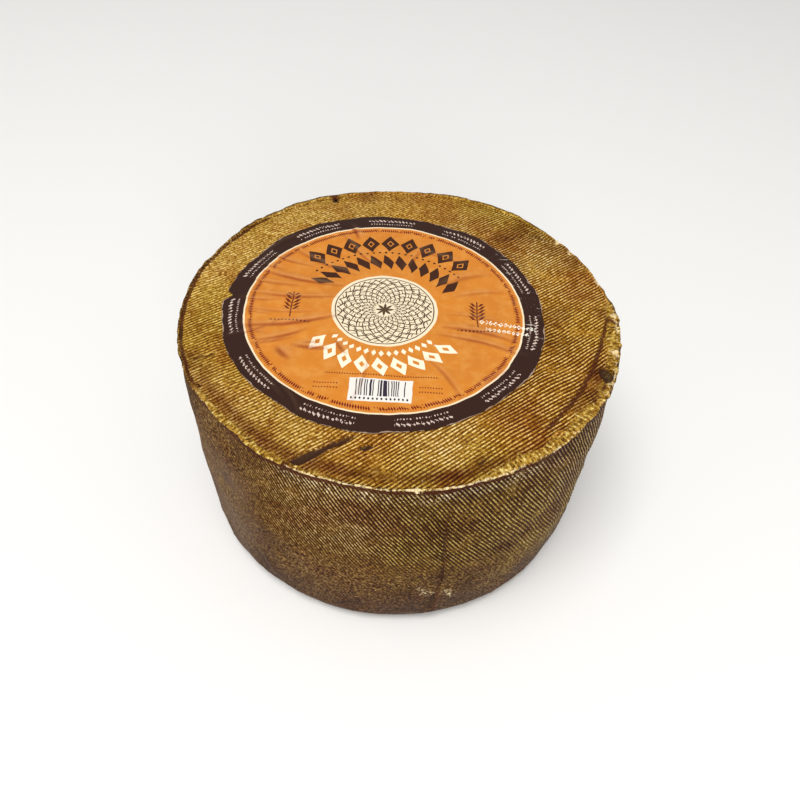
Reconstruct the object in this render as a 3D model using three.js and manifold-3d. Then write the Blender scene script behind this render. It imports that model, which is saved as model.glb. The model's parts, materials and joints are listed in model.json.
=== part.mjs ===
// A whole wheel of aged sheep's-milk cheese with a round paper label on its top.
//
// Millimetres, +Z up. The origin is the middle of the foot, and -Y is the front.
// The curd was pressed in a straight mould under a lid, inside a twill cloth. That leaves a flat
// top with a thin rolled lip of squeezed-out curd round it, nearly straight sides that belly out
// a little, a softly rounded foot, and creases where the cloth was folded.

import * as THREE from 'three';
import Module from 'manifold-3d';
import { mergeVertices } from 'three/addons/utils/BufferGeometryUtils.js';

// Driving dimensions of the wheel.
const rimRadius = 95; // 190 mm across
const topHeight = 106; // the pressed top, inside the lip
const lipHeight = 1.1; // mean height of the lip above the top
const lipWidth = 3.6; // mean width of the lip, measured inwards from the rim
const footRadius = 93.2; // where the side would meet the floor
const sideBelly = 1.2; // how far the side swells out at mid height
const footRoundHeight = 13;
const footRoundWidth = 8;

// Driving dimensions of the label.
const labelRadius = 70.6;
const labelCentre = new THREE.Vector2(-7, 0.4); // stuck a little to the left of the middle
const labelThickness = 0.6;
const labelClearance = 0.3; // under the paper
const labelNotch = { angle: 179, depth: 3.4, halfWidth: 2.6 }; // the torn bite, in degrees and mm

// How finely the round shapes are divided.
const columns = 144;
const labelSteps = 180;
const sideRows = 9;
const footSteps = 5;

const degrees = Math.PI / 180;

// A smooth wavy number for an angle: a few sines that close on themselves round the wheel.
// Each wave is [times round, height, start].
function wavy(angle, waves) {
  return waves.reduce((sum, [turns, height, start]) => sum + height * Math.sin(turns * angle + start), 0);
}

const outOfRound = [[2, 0.45, 1.1], [3, 0.3, 0.4], [5, 0.2, 2.6], [8, 0.12, 5.1]];
const lipHeightWaves = [[4, 0.22, 0.3], [9, 0.2, 1.9], [17, 0.22, 4.4], [29, 0.18, 2.2]];
const lipWidthWaves = [[3, 0.8, 3.6], [7, 0.5, 0.8], [13, 0.4, 2.9]];
const topWaves = [[3, 0.22, 0.9], [5, 0.18, 3.1], [8, 0.12, 1.2]];
const sideWaves = [[6, 0.22, 2.0], [11, 0.16, 0.5]];

// The wheel's skin as rings of points, from the middle of the top to the middle of the foot.
// A ring is a function from an angle to [radius, height].
function wheelRings() {
  const flat = (radius) => () => [radius, topHeight];
  const rolling = (radius) => (angle) => [radius, topHeight + wavy(angle + radius, topWaves)];
  const lip = (inwards, rise) => (angle) => {
    const width = lipWidth + wavy(angle, lipWidthWaves);
    const height = lipHeight + wavy(angle, lipHeightWaves);
    return [rimRadius + wavy(angle, outOfRound) - inwards * width, topHeight + rise * height];
  };

  // A shadow groove runs right under the lip, then the side swells and comes in to the foot.
  const sideTop = topHeight - 3.2;
  const side = (height) => (angle) => {
    const down = (sideTop - height) / (sideTop - footRoundHeight);
    const taper = (footRadius - rimRadius) * down;
    const belly = sideBelly * 4 * down * (1 - down);
    const bumps = wavy(angle + 3 * down, sideWaves) * Math.sin(Math.PI * down);
    return [rimRadius - 0.5 + taper + belly + bumps + wavy(angle, outOfRound), height];
  };

  const rings = [flat(25), flat(50), flat(66), flat(78.5), rolling(83), rolling(87)];
  rings.push(lip(1.35, 0), lip(0.9, 0.45), lip(0.55, 0.95), lip(0.2, 0.9), lip(0, 0.2), lip(0.06, -1.2));
  for (let row = 0; row <= sideRows; row += 1) {
    rings.push(side(sideTop + ((footRoundHeight - sideTop) * row) / sideRows));
  }
  for (let step = 1; step <= footSteps; step += 1) {
    const turn = (step / footSteps) * 90 * degrees;
    const height = footRoundHeight * (1 - Math.sin(turn));
    const inset = footRoundWidth * (1 - Math.cos(turn));
    rings.push((angle) => [side(footRoundHeight)(angle)[0] - inset, height]);
  }
  rings.push(() => [58, 0], () => [28, 0]);
  return rings;
}

// Joins rings of points into a closed skin with a pole at each end.
function skinGeometry(rings, topPole, bottomPole) {
  const positions = [topPole];
  for (const ring of rings) {
    for (let column = 0; column < columns; column += 1) {
      const angle = (column / columns) * 2 * Math.PI;
      const [radius, height] = ring(angle);
      positions.push([radius * Math.cos(angle), radius * Math.sin(angle), height]);
    }
  }
  positions.push(bottomPole);

  const point = (ring, column) => 1 + ring * columns + (column % columns);
  const last = positions.length - 1;
  const triangles = [];
  for (let column = 0; column < columns; column += 1) {
    triangles.push(0, point(0, column), point(0, column + 1));
    for (let ring = 0; ring < rings.length - 1; ring += 1) {
      const a = point(ring, column);
      const b = point(ring + 1, column);
      const c = point(ring + 1, column + 1);
      const d = point(ring, column + 1);
      triangles.push(a, b, c, a, c, d);
    }
    triangles.push(point(rings.length - 1, column), last, point(rings.length - 1, column + 1));
  }
  const geometry = new THREE.BufferGeometry();
  geometry.setAttribute('position', new THREE.Float32BufferAttribute(positions.flat(), 3));
  geometry.setIndex(triangles);
  return geometry;
}

// A crease: a tapering furrow pressed by a fold of the cloth. Each stop has a point on the skin,
// the skin's outward direction there, and the furrow's half width and depth.
function creaseGeometry(stops) {
  const above = 3; // how far the cutter stands clear of the skin
  const positions = [];
  stops.forEach(({ at, out, halfWidth, depth }, index) => {
    const before = stops[Math.max(index - 1, 0)].at;
    const after = stops[Math.min(index + 1, stops.length - 1)].at;
    const along = new THREE.Vector3().subVectors(after, before).normalize();
    const across = new THREE.Vector3().crossVectors(out, along).normalize();
    const corner = (sideways, outwards) =>
      at.clone().addScaledVector(across, sideways).addScaledVector(out, outwards).toArray();
    positions.push(corner(-2 * halfWidth, above), corner(2 * halfWidth, above));
    positions.push(corner(0.3 * halfWidth, -depth), corner(-0.3 * halfWidth, -depth));
  });
  const triangles = [0, 1, 2, 0, 2, 3];
  for (let stop = 0; stop < stops.length - 1; stop += 1) {
    for (let corner = 0; corner < 4; corner += 1) {
      const a = stop * 4 + corner;
      const b = stop * 4 + ((corner + 1) % 4);
      triangles.push(a, a + 4, b + 4, a, b + 4, b);
    }
  }
  const end = (stops.length - 1) * 4;
  triangles.push(end, end + 2, end + 1, end, end + 3, end + 2);
  const geometry = new THREE.BufferGeometry();
  geometry.setAttribute('position', new THREE.Float32BufferAttribute(positions.flat(), 3));
  geometry.setIndex(triangles);
  return geometry;
}

const up = new THREE.Vector3(0, 0, 1);
const onTop = (x, y, halfWidth, depth) => ({ at: new THREE.Vector3(x, y, topHeight), out: up, halfWidth, depth });

const onSide = (angleDegrees, height, halfWidth, depth) => {
  const out = new THREE.Vector3(Math.cos(angleDegrees * degrees), Math.sin(angleDegrees * degrees), 0);
  const at = out.clone().multiplyScalar(rimRadius + 0.1).setZ(height);
  return { at, out, halfWidth, depth };
};

const creases = [
  // front left of the top, from the rim to the label
  [onTop(-38.8, -87.6, 2.0, 1.1), onTop(-32, -82.4, 1.9, 1.4), onTop(-21, -75.6, 1.3, 1.0), onTop(-12, -71, 0.6, 0.5)],
  // back right of the top
  [onTop(46, 58, 0.5, 0.4), onTop(54, 61, 1.2, 0.8), onTop(62, 63.8, 1.4, 0.9), onTop(71, 60, 0.6, 0.4)],
  // left of the top
  [onTop(-86, -41, 0.8, 0.6), onTop(-80, -38, 1.2, 0.9), onTop(-73, -35.4, 0.6, 0.4)],
  // down the front of the side, beside the middle
  [onSide(-76, 95, 0.5, 0.4), onSide(-75.8, 80, 0.9, 0.8), onSide(-75.6, 60, 1.1, 1.1), onSide(-75.7, 38, 1.0, 1.0),
    onSide(-76.2, 18, 0.6, 1.4)],
];

// Pits and torn places: [x, y, z, half length along the rim, half width, depth].
const pits = [
  [84.6, -33.6, topHeight, 4.2, 2.0, 1.6],
  [-10.2, -76.9, topHeight, 1.7, 1.0, 1.0],
  [34.5, -83.6, topHeight, 2.4, 1.2, 1.0],
  [-38.6, 84.5, topHeight + 1.2, 2.4, 1.6, 1.4],
  [20, 83, topHeight, 3.6, 1.3, 0.9],
];

function pitGeometry([x, y, z, halfLength, halfWidth, depth]) {
  const geometry = new THREE.SphereGeometry(1, 14, 8);
  geometry.scale(halfWidth, halfLength, depth);
  geometry.rotateZ(Math.atan2(y, x));
  geometry.translate(x, y, z);
  return geometry;
}

// The label's outline: a slightly uneven circle with one torn bite in its left edge.
function labelGeometry() {
  const outline = [];
  for (let step = 0; step < labelSteps; step += 1) {
    const angle = (step / labelSteps) * 2 * Math.PI;
    const fromNotch = ((angle - labelNotch.angle * degrees) * labelRadius) / labelNotch.halfWidth;
    const bite = labelNotch.depth * Math.exp(-fromNotch * fromNotch);
    const radius = labelRadius - bite + wavy(angle, [[5, 0.25, 0.6], [9, 0.22, 2.4], [14, 0.18, 4.0]]);
    outline.push(new THREE.Vector2(radius * Math.cos(angle), radius * Math.sin(angle)));
  }
  return new THREE.ExtrudeGeometry(new THREE.Shape(outline), { depth: labelThickness, bevelEnabled: false });
}

// Solids: closed meshes that can be cut.
const manifold = await Module();
manifold.setup();

function toSolid(geometry) {
  const bare = geometry.clone();
  bare.deleteAttribute('normal');
  bare.deleteAttribute('uv');
  const merged = mergeVertices(bare, 1e-5);
  return new manifold.Manifold(new manifold.Mesh({
    numProp: 3,
    vertProperties: new Float32Array(merged.attributes.position.array),
    triVerts: new Uint32Array(merged.index.array),
  }));
}

function toGeometry(solid) {
  const mesh = solid.getMesh();
  const geometry = new THREE.BufferGeometry();
  geometry.setAttribute('position', new THREE.Float32BufferAttribute(mesh.vertProperties, 3));
  geometry.setIndex(Array.from(mesh.triVerts));
  geometry.computeVertexNormals();
  return geometry;
}

// The wheel: the pressed skin with the creases and pits cut into it, centred over its own foot.
const skin = toSolid(skinGeometry(wheelRings(), [0, 0, topHeight], [0, 0, 0]));
const cutters = [...creases.map(creaseGeometry), ...pits.map(pitGeometry)].map(toSolid);
const wheelGeometry = toGeometry(cutters.reduce((solid, cutter) => solid.subtract(cutter), skin));
wheelGeometry.computeBoundingBox();
const middle = wheelGeometry.boundingBox.getCenter(new THREE.Vector3());
wheelGeometry.translate(-middle.x, -middle.y, 0);

const rindMaterial = new THREE.MeshStandardMaterial({ color: '#8f6f33', roughness: 0.55, metalness: 0 });
const paperMaterial = new THREE.MeshStandardMaterial({ color: '#d9802f', roughness: 0.5, metalness: 0 });

const wheel = new THREE.Mesh(wheelGeometry, rindMaterial);
wheel.name = 'cheese_wheel';

const label = new THREE.Mesh(labelGeometry(), paperMaterial);
label.name = 'label';
label.position.set(labelCentre.x, labelCentre.y, topHeight + labelClearance);

const cheese = new THREE.Group();
cheese.name = 'sheep_cheese';
cheese.add(wheel, label);

export default cheese;
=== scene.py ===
# %% [markdown]
# # A whole wheel of aged sheep cheese with a round paper label
#
# The real thing is about 190 mm across and 107 mm high. Its curd was pressed in a mould lined
# with twill cloth, so the whole rind carries the cloth's slanting ridges. The lid squeezed a
# thin rough lip of curd up round the rim, folds of the cloth left creases, and months of
# ageing and oiling turned the rind golden on top and brown on the side. A printed paper label
# is stuck on the top, a little to the left of the middle.
#
# The model packed from CAD is the fixed frame. The wheel and the label are made again here
# with their true surfaces, and each new piece stands for its CAD node.

# %% The frame
import json
import math

import bpy
import numpy as np
from mathutils import Matrix, Vector

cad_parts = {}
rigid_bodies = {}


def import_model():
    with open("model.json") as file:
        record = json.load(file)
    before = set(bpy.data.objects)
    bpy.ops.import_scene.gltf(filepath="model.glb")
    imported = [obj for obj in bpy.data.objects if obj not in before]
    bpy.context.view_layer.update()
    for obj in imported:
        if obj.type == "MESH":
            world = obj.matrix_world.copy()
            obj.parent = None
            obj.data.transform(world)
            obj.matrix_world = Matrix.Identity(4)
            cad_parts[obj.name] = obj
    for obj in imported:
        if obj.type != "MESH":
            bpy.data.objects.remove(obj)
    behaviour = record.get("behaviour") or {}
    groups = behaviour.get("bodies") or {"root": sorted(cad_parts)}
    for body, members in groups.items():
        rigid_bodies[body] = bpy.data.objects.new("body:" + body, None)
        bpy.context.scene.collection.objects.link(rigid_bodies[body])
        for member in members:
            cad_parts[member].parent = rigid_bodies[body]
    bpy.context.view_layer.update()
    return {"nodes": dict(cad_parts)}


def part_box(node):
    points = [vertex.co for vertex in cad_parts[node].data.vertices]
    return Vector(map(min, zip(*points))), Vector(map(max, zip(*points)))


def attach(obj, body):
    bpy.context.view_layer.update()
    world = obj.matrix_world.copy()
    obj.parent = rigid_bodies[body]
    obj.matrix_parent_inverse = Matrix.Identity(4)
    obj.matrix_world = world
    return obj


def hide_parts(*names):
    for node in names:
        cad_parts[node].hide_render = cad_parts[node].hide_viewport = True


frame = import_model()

MM = 0.001
print("CAD nodes:", sorted(frame["nodes"]))

# %% [markdown]
# ## Sizes
#
# The wheel and the label take their sizes from the two CAD nodes. The rest is measured from
# the object in millimetres: the cloth's ridges stand 1.45 mm apart and run at 39.5 degrees
# across the top, and up the side they lean 31.5 degrees to the left.

# %% Sizes in millimetres
wheel_low, wheel_high = (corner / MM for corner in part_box("cheese_wheel"))
label_low, label_high = (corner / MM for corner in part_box("label"))
rim_radius = (wheel_high.x - wheel_low.x + wheel_high.y - wheel_low.y) / 4
label_gap = 0.3
top_height = label_low.z - label_gap
label_radius = (label_high.y - label_low.y) / 2
label_x = label_high.x - label_radius
label_y = (label_high.y + label_low.y) / 2

foot_radius = 93.6
foot_round_height = 11
foot_round_width = 6.5
side_belly = 1.2
side_inset = 0.6

ridge_pitch = 1.45
top_ridge_angle = math.radians(39.5)
side_ridge_lean = math.radians(31.5)
furrow_depth = 0.42
worn_loss = 0.9
vertices_per_ridge = 4
ridges_round = round(2 * math.pi * rim_radius * math.cos(side_ridge_lean) / ridge_pitch)
turn_per_mm = math.tan(side_ridge_lean) / rim_radius
print(f"rim radius {rim_radius:.1f}, top at {top_height:.1f}, {ridges_round} ridges round the side")
print(f"label radius {label_radius:.1f} at {label_x:.1f}, {label_y:.1f}")

# %% [markdown]
# ## Working helpers
#
# Blender's operators act on whatever is selected, and the loaded CAD nodes are selected. So
# each new piece starts with nothing selected. A modifier is added, set and applied in one
# step, as one would with its Apply button. Masks, such as where the cloth's furrows lie, are
# written as vertex weights by a formula, as one would paint them by hand.

# %% Helpers for selecting, applying and weighting
def start_piece():
    """Leaves nothing selected, so the next operator acts on the new piece alone."""
    if bpy.context.object and bpy.context.object.mode != "OBJECT":
        bpy.ops.object.mode_set(mode="OBJECT")
    bpy.ops.object.select_all(action="DESELECT")


def make_active(piece):
    """Selects one piece and makes it the one that operators act on."""
    start_piece()
    piece.select_set(True)
    bpy.context.view_layer.objects.active = piece


def apply_modifier(piece, kind, **settings):
    """Adds a modifier with these settings and applies it."""
    make_active(piece)
    modifier = piece.modifiers.new(kind.title(), kind)
    for name, value in settings.items():
        setattr(modifier, name, value)
    bpy.ops.object.modifier_apply(modifier=modifier.name)


def points_of(piece):
    """The vertices' places in millimetres, one row each."""
    places = np.empty(len(piece.data.vertices) * 3, np.float32)
    piece.data.vertices.foreach_get("co", places)
    return places.reshape(-1, 3).astype(float) / MM


def weight_vertices(piece, name, weights):
    """Makes a vertex group with one weight from 0 to 1 for each vertex."""
    group = piece.vertex_groups.new(name=name)
    levels = np.round(np.clip(weights, 0, 1) * 50).astype(int)
    for level in np.unique(levels[levels > 0]):
        group.add(np.flatnonzero(levels == level).tolist(), level / 50, "REPLACE")


def move_vertices(piece, moves):
    """Moves each vertex by its own row of millimetres."""
    moved = points_of(piece) + moves
    piece.data.vertices.foreach_set("co", (moved * MM).astype(np.float32).ravel())
    piece.data.update()


def smooth_step(low, high, value):
    """Rises smoothly from 0 at low to 1 at high."""
    share = np.clip((value - low) / (high - low), 0, 1)
    return share * share * (3 - 2 * share)


def clouds(name, size, depth=2, coloured=False):
    """A soft cloud texture for the Displace modifier, its blotches about size mm across."""
    texture = bpy.data.textures.new(name, "CLOUDS")
    texture.noise_scale = size * MM
    texture.noise_depth = depth
    texture.cloud_type = "COLOR" if coloured else "GRAYSCALE"
    return texture


# %% [markdown]
# ## Where the cloth's print is strong, and where it is worn
#
# A furrow lies between each two ridges. Across the ridges the surface is close to a wave, so
# four vertices for each ridge are enough: one in the furrow, one on the crest and one on each
# flank. The print is crisp on the front and the right, and it fades towards the back left of
# the top, on the left of the side and above the foot, where the curd stuck and smeared.

# %% The furrow profile and the worn places
def furrow_share(across):
    """How deep a point lies: 1 in the furrow and 0 on the crest, for a place in ridge pitches."""
    return 0.5 + 0.5 * np.cos(2 * np.pi * across)


def along_rim(angle, middle, reach, fade=9):
    """1 on a stretch of the rim, so many degrees to each side of its middle, and 0 elsewhere."""
    away = np.degrees(np.abs(np.angle(np.exp(1j * (angle - np.radians(middle))))))
    return smooth_step(reach + fade, reach, away)


def worn_on_side(angle, height):
    """From 0, where the print is crisp, to 1, where it has gone."""
    limit = 30 + 26 * np.cos(angle + np.radians(115))
    smeared_low = smooth_step(limit + 12, limit - 14, height)
    stuck_left = 0.75 * along_rim(angle, -160, 28, 22)
    rubbed_right = 0.3 * along_rim(angle, -30, 26, 16) * smooth_step(84, 40, height)
    rubbed_edge = 0.75 * along_rim(angle, -10, 9, 12)
    return np.maximum.reduce([smeared_low, stuck_left, rubbed_right, rubbed_edge])


def worn_on_top(angle):
    back_left = 0.7 * smooth_step(0.2, 0.75, np.cos(angle - np.radians(125)))
    front_left = 0.4 * along_rim(angle, -135, 28, 20)
    handled = 0.2 * (1 - along_rim(angle, -28, 18, 12))
    return np.maximum.reduce([back_left, front_left, handled])


def broad_lip(angle):
    """1 where the lip is a broad torn band, on the right, and 0 where it is a thin bead."""
    return np.maximum(along_rim(angle, -11, 14), along_rim(angle, -50, 15))


# %% [markdown]
# ## The wheel's body
#
# The side is a tall turned shape with slanting flutes, like a twist drill. A circle with four
# vertices for each ridge is extruded upwards row by row. At each row it is scaled to the
# side's radius and turned a little, so its columns of vertices lean just as the cloth's ridges
# do, and the furrows can follow them with no jagged edges.

# %% The rows of the side
def side_radius(height):
    """The wheel's radius in mm at a height in mm, before the cloth's furrows."""
    if height < 0:
        return side_radius(0)
    if height < foot_round_height:
        rise = 1 - height / foot_round_height
        inset = foot_round_width * (1 - math.sqrt(1 - rise * rise))
        return side_radius(foot_round_height) - inset
    down = (top_height - height) / (top_height - foot_round_height)
    taper = (foot_radius - rim_radius) * down
    return rim_radius - side_inset + taper + side_belly * 4 * down * (1 - down)


cut_margin = 0.8
foot_rows = [foot_round_height * (1 - math.sin(math.radians(90 - 15 * step))) for step in range(6)]
side_rows = list(np.linspace(foot_round_height, top_height - 11, 17))
rim_rows = [top_height - below for below in (8, 5.8, 4.2, 3.2, 2.4, 1.7, 1.0, -cut_margin)]
rows = [-cut_margin] + foot_rows + side_rows + rim_rows
columns = vertices_per_ridge * ridges_round
print("rows:", len(rows), "columns:", columns)

# %% Extruding the body
start_piece()
bpy.ops.mesh.primitive_circle_add(
    vertices=columns, radius=side_radius(0) * MM, location=(0, 0, rows[0] * MM))
wheel = bpy.context.object
wheel.name = "cheese_wheel_rind"
bpy.ops.object.transform_apply(location=True, rotation=True, scale=True)
bpy.ops.object.mode_set(mode="EDIT")
bpy.ops.mesh.select_all(action="SELECT")
for low, high in zip(rows, rows[1:]):
    grow = side_radius(high) / side_radius(low)
    bpy.ops.mesh.extrude_region_move(TRANSFORM_OT_translate={"value": (0, 0, (high - low) * MM)})
    bpy.ops.transform.resize(value=(grow, grow, 1), center_override=(0, 0, 0))
    bpy.ops.transform.rotate(
        value=turn_per_mm * (high - low), orient_axis="Z", center_override=(0, 0, 0))
bpy.ops.mesh.select_all(action="SELECT")
bpy.ops.mesh.fill_holes(sides=0)
bpy.ops.mesh.normals_make_consistent(inside=False)
bpy.ops.object.mode_set(mode="OBJECT")
print("body:", len(wheel.data.vertices), "vertices")

# %% [markdown]
# ## The pressing cloths, top and bottom
#
# The lid and the floor of the mould were lined with the same cloth. Each lined board is a
# cutter here: a fine grid whose columns follow the cloth's ridges, turned to the ridges'
# angle, with its furrow lines moved into the cheese. Its edge is extruded away from the
# cheese and closed. What the two boards cut off leaves the top and the underside printed.

# %% A board lined with cloth
grid_pitches = 138
board_size = grid_pitches * ridge_pitch
board_thickness = 8


def cloth_board(name, height, away, cell_length):
    """A block whose face at this height is printed with furrows. away is +1 or -1."""
    start_piece()
    cells = round(board_size / cell_length)
    bpy.ops.mesh.primitive_grid_add(
        x_subdivisions=cells, y_subdivisions=vertices_per_ridge * grid_pitches,
        size=board_size * MM)
    board = bpy.context.object
    board.name = name
    places = points_of(board)
    across = places[:, 1] / ridge_pitch + grid_pitches / 2
    bpy.ops.transform.rotate(value=-top_ridge_angle, orient_axis="Z", center_override=(0, 0, 0))
    bpy.ops.transform.translate(value=(0, 0, height * MM))
    bpy.ops.object.transform_apply(location=True, rotation=True, scale=True)
    places = points_of(board)
    crisp = 1.0
    if away > 0:
        crisp = 1 - worn_loss * worn_on_top(np.arctan2(places[:, 1], places[:, 0]))
    weight_vertices(board, "furrows", furrow_share(across) * crisp)
    apply_modifier(
        board, "DISPLACE", direction="Z", mid_level=0, strength=-away * furrow_depth * MM,
        vertex_group="furrows")
    bpy.ops.object.mode_set(mode="EDIT")
    bpy.ops.mesh.select_mode(type="EDGE")
    bpy.ops.mesh.select_all(action="DESELECT")
    bpy.ops.mesh.select_non_manifold()
    thickness = away * board_thickness * MM
    bpy.ops.mesh.extrude_region_move(TRANSFORM_OT_translate={"value": (0, 0, thickness)})
    bpy.ops.transform.resize(value=(1, 1, 0))
    bpy.ops.mesh.edge_face_add()
    bpy.ops.mesh.select_mode(type="VERT")
    bpy.ops.mesh.select_all(action="SELECT")
    bpy.ops.mesh.normals_make_consistent(inside=False)
    bpy.ops.object.mode_set(mode="OBJECT")
    print(name, len(board.data.polygons), "faces")
    return board


lid = cloth_board("lid_board", top_height, away=1, cell_length=2.4)
floor_board = cloth_board("floor_board", 0, away=-1, cell_length=9)

# %% [markdown]
# ## Furrows round the side
#
# The body's own columns give each vertex its place across the ridges, so the side's furrows
# are weighted by the column number. The Displace modifier then pushes them in.

# %% Pushing in the side's furrows
body = points_of(wheel)
side_angle = np.arctan2(body[:, 1], body[:, 0])


def side_across(angle, height):
    """A place on the side counted in ridge pitches round the wheel; a furrow is at each whole
    number."""
    # The circle's first vertex lies at 90 degrees, on a row that is below the foot.
    start = math.radians(90) + turn_per_mm * -cut_margin
    return (angle + turn_per_mm * height - start) * ridges_round / (2 * math.pi)


side_print = furrow_share(side_across(side_angle, body[:, 2]))
side_print *= 1 - worn_loss * worn_on_side(side_angle, body[:, 2])
weight_vertices(wheel, "furrows", side_print)
apply_modifier(
    wheel, "DISPLACE", direction="NORMAL", mid_level=0, strength=-furrow_depth * MM,
    vertex_group="furrows")
print("furrowed side:", points_of(wheel).min(0), points_of(wheel).max(0))

# %% [markdown]
# ## Creases, holes and the groove inside the lip
#
# A fold of the cloth pressed a long tapering furrow, and a torn place is a short one. They
# could be sculpted by hand, but a stretched ball half sunk in the surface cuts the same shape
# and is easy to move. Each row says where it lies, its direction, its half length, its half
# width and its depth.

# %% Cutters for creases and holes
def stretched_ball(name, place, turn, half_sizes):
    """A stretched ball at a place in mm, with its three half sizes, turned about X, Y and Z."""
    start_piece()
    bpy.ops.mesh.primitive_uv_sphere_add(segments=24, ring_count=14, radius=MM)
    ball = bpy.context.object
    ball.name = name
    bpy.ops.transform.resize(value=half_sizes)
    ball.rotation_euler = turn
    ball.location = Vector(place) * MM
    bpy.ops.object.transform_apply(location=True, rotation=True, scale=True)
    return ball


top_creases = [
    ("front_left_crease", -31.5, -82.0, 32, 9.5, 2.3, 1.6),
    ("front_left_crease_end", -21.5, -75.6, 32, 13.0, 1.3, 1.1),
    ("front_pit", -9.7, -76.0, 20, 3.0, 1.5, 1.6),
    ("back_right_fold", 53.0, 60.2, 20, 9.5, 1.3, 0.8),
    ("back_right_fold_end", 65.5, 61.4, -28, 8.0, 1.5, 0.9),
    ("left_fold", -78.0, -34.0, 24, 8.5, 1.1, 0.9),
    ("left_fold_short", -77.6, -41.5, 33, 5.5, 0.9, 0.7),
    ("right_hole", 85.9, -31.2, 104, 4.8, 2.8, 2.8),
    ("front_right_hole", 33.4, -79.6, 40, 2.4, 1.2, 0.9),
    ("right_notch", 94.6, 13.6, 98, 3.6, 0.9, 2.2),
    ("back_right_notch", 81.4, 47.4, 120, 4.2, 0.9, 1.6),
    ("back_left_notch", -36.8, 85.6, 100, 3.4, 1.3, 1.5),
    ("left_notch", -77.8, -51.0, 20, 2.6, 1.1, 1.1),
]
# The seam where the cloth was gathered runs inside the rim on the right.
seam_points = [
    (91.2, 3.3), (86.8, -11.8), (82.4, -24.5), (76.8, -35.0), (71.0, -45.9), (65.0, -54.6),
    (58.9, -61.8),
]
for number, ((x0, y0), (x1, y1)) in enumerate(zip(seam_points, seam_points[1:])):
    degrees = math.degrees(math.atan2(y1 - y0, x1 - x0))
    half_length = 0.62 * math.hypot(x1 - x0, y1 - y0)
    middle = ((x0 + x1) / 2, (y0 + y1) / 2)
    top_creases.append((f"seam_{number}", *middle, degrees, half_length, 1.0, 0.5))

cutters = [lid, floor_board]
for name, x, y, degrees, half_length, half_width, depth in top_creases:
    place = (x, y, top_height)
    turn = (0, 0, math.radians(degrees))
    cutters.append(stretched_ball(name, place, turn, (half_length, half_width, depth)))

side_creases = [
    ("front_crease_top", -75.3, 88, 13, 0.6, 0.4, 1.5),
    ("front_crease", -75.9, 62, 26, 0.8, 0.7, 1.0),
    ("front_crease_low", -75.6, 36, 16, 0.8, 0.7, -2.0),
    ("front_crease_foot", -76.8, 17, 14, 1.4, 0.9, -1.5),
    ("foot_dent", -98, 12, 6, 7, 0.7, 0),
    ("foot_dent_left", -128, 16, 7, 9, 0.7, 0),
    ("foot_dent_right", -52, 9, 5, 8, 0.6, 0),
]
for name, degrees, height, half_length, half_width, depth, tilt in side_creases:
    angle = math.radians(degrees)
    radius = side_radius(height) - 0.15
    place = (radius * math.cos(angle), radius * math.sin(angle), height)
    turn = (math.radians(tilt), 0, angle)
    cutters.append(stretched_ball(name, place, turn, (depth, half_width, half_length)))

# %% The groove and the bed of the label
start_piece()
bpy.ops.mesh.primitive_torus_add(
    major_radius=(rim_radius - 1.8) * MM, minor_radius=0.8 * MM, major_segments=400,
    minor_segments=8, location=(0, 0, (top_height + 0.25) * MM))
groove = bpy.context.object
groove.name = "lip_groove"
bpy.ops.object.transform_apply(location=True, rotation=True, scale=True)
groove_places = points_of(groove)
groove_angle = np.arctan2(groove_places[:, 1], groove_places[:, 0])
weight_vertices(groove, "shut", 1 - along_rim(groove_angle, 176, 30))
# Away from the left the ring is lifted clear of the top, so it cuts nothing there.
apply_modifier(
    groove, "DISPLACE", direction="Z", mid_level=0, strength=1.6 * MM, vertex_group="shut")
apply_modifier(
    groove, "DISPLACE", direction="RGB_TO_XYZ", texture=clouds("groove_wander", 6, 2, True),
    texture_coords="LOCAL", mid_level=0.5, strength=1.6 * MM)
cutters.append(groove)

start_piece()
bpy.ops.mesh.primitive_cylinder_add(
    vertices=96, radius=(label_radius - 6) * MM, depth=6 * MM,
    location=(label_x * MM, label_y * MM, (top_height + 2.4) * MM))
bpy.context.object.name = "label_bed"
bpy.ops.object.transform_apply(location=True, rotation=True, scale=True)
cutters.append(bpy.context.object)


# %% Cutting the body with all of them at once
def gather(name, pieces):
    """Puts pieces in a collection of their own, for one Boolean."""
    collection = bpy.data.collections.new(name)
    bpy.context.scene.collection.children.link(collection)
    for piece in pieces:
        for home in list(piece.users_collection):
            home.objects.unlink(piece)
        collection.objects.link(piece)
    return collection


def boolean_with(piece, operation, pieces):
    """Joins or cuts a piece with others in one Boolean, and removes the others."""
    collection = gather(operation.lower() + "_pieces", pieces)
    apply_modifier(
        piece, "BOOLEAN", operation=operation, solver="MANIFOLD", operand_type="COLLECTION",
        collection=collection)
    for other in pieces:
        bpy.data.objects.remove(other)
    bpy.data.collections.remove(collection)


def triangles_of(piece):
    piece.data.calc_loop_triangles()
    return len(piece.data.loop_triangles)


boolean_with(wheel, "DIFFERENCE", cutters)
print("cut wheel:", triangles_of(wheel), "triangles")

# %% [markdown]
# ## The lip of squeezed-out curd
#
# Where the lid met the mould, curd was squeezed up through the gap. On the left and at the
# back it is a thin bead behind a dark groove. On the right and the front right it is a broad,
# torn, crumbly band. Loose clumps could make the band, but they would leave gaps, so both are
# one ring here. Its inner vertices are moved inwards where the band is broad, weights slim it
# where the bead is thin, cloud textures bend and roughen it, and it is joined to the body.

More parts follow.
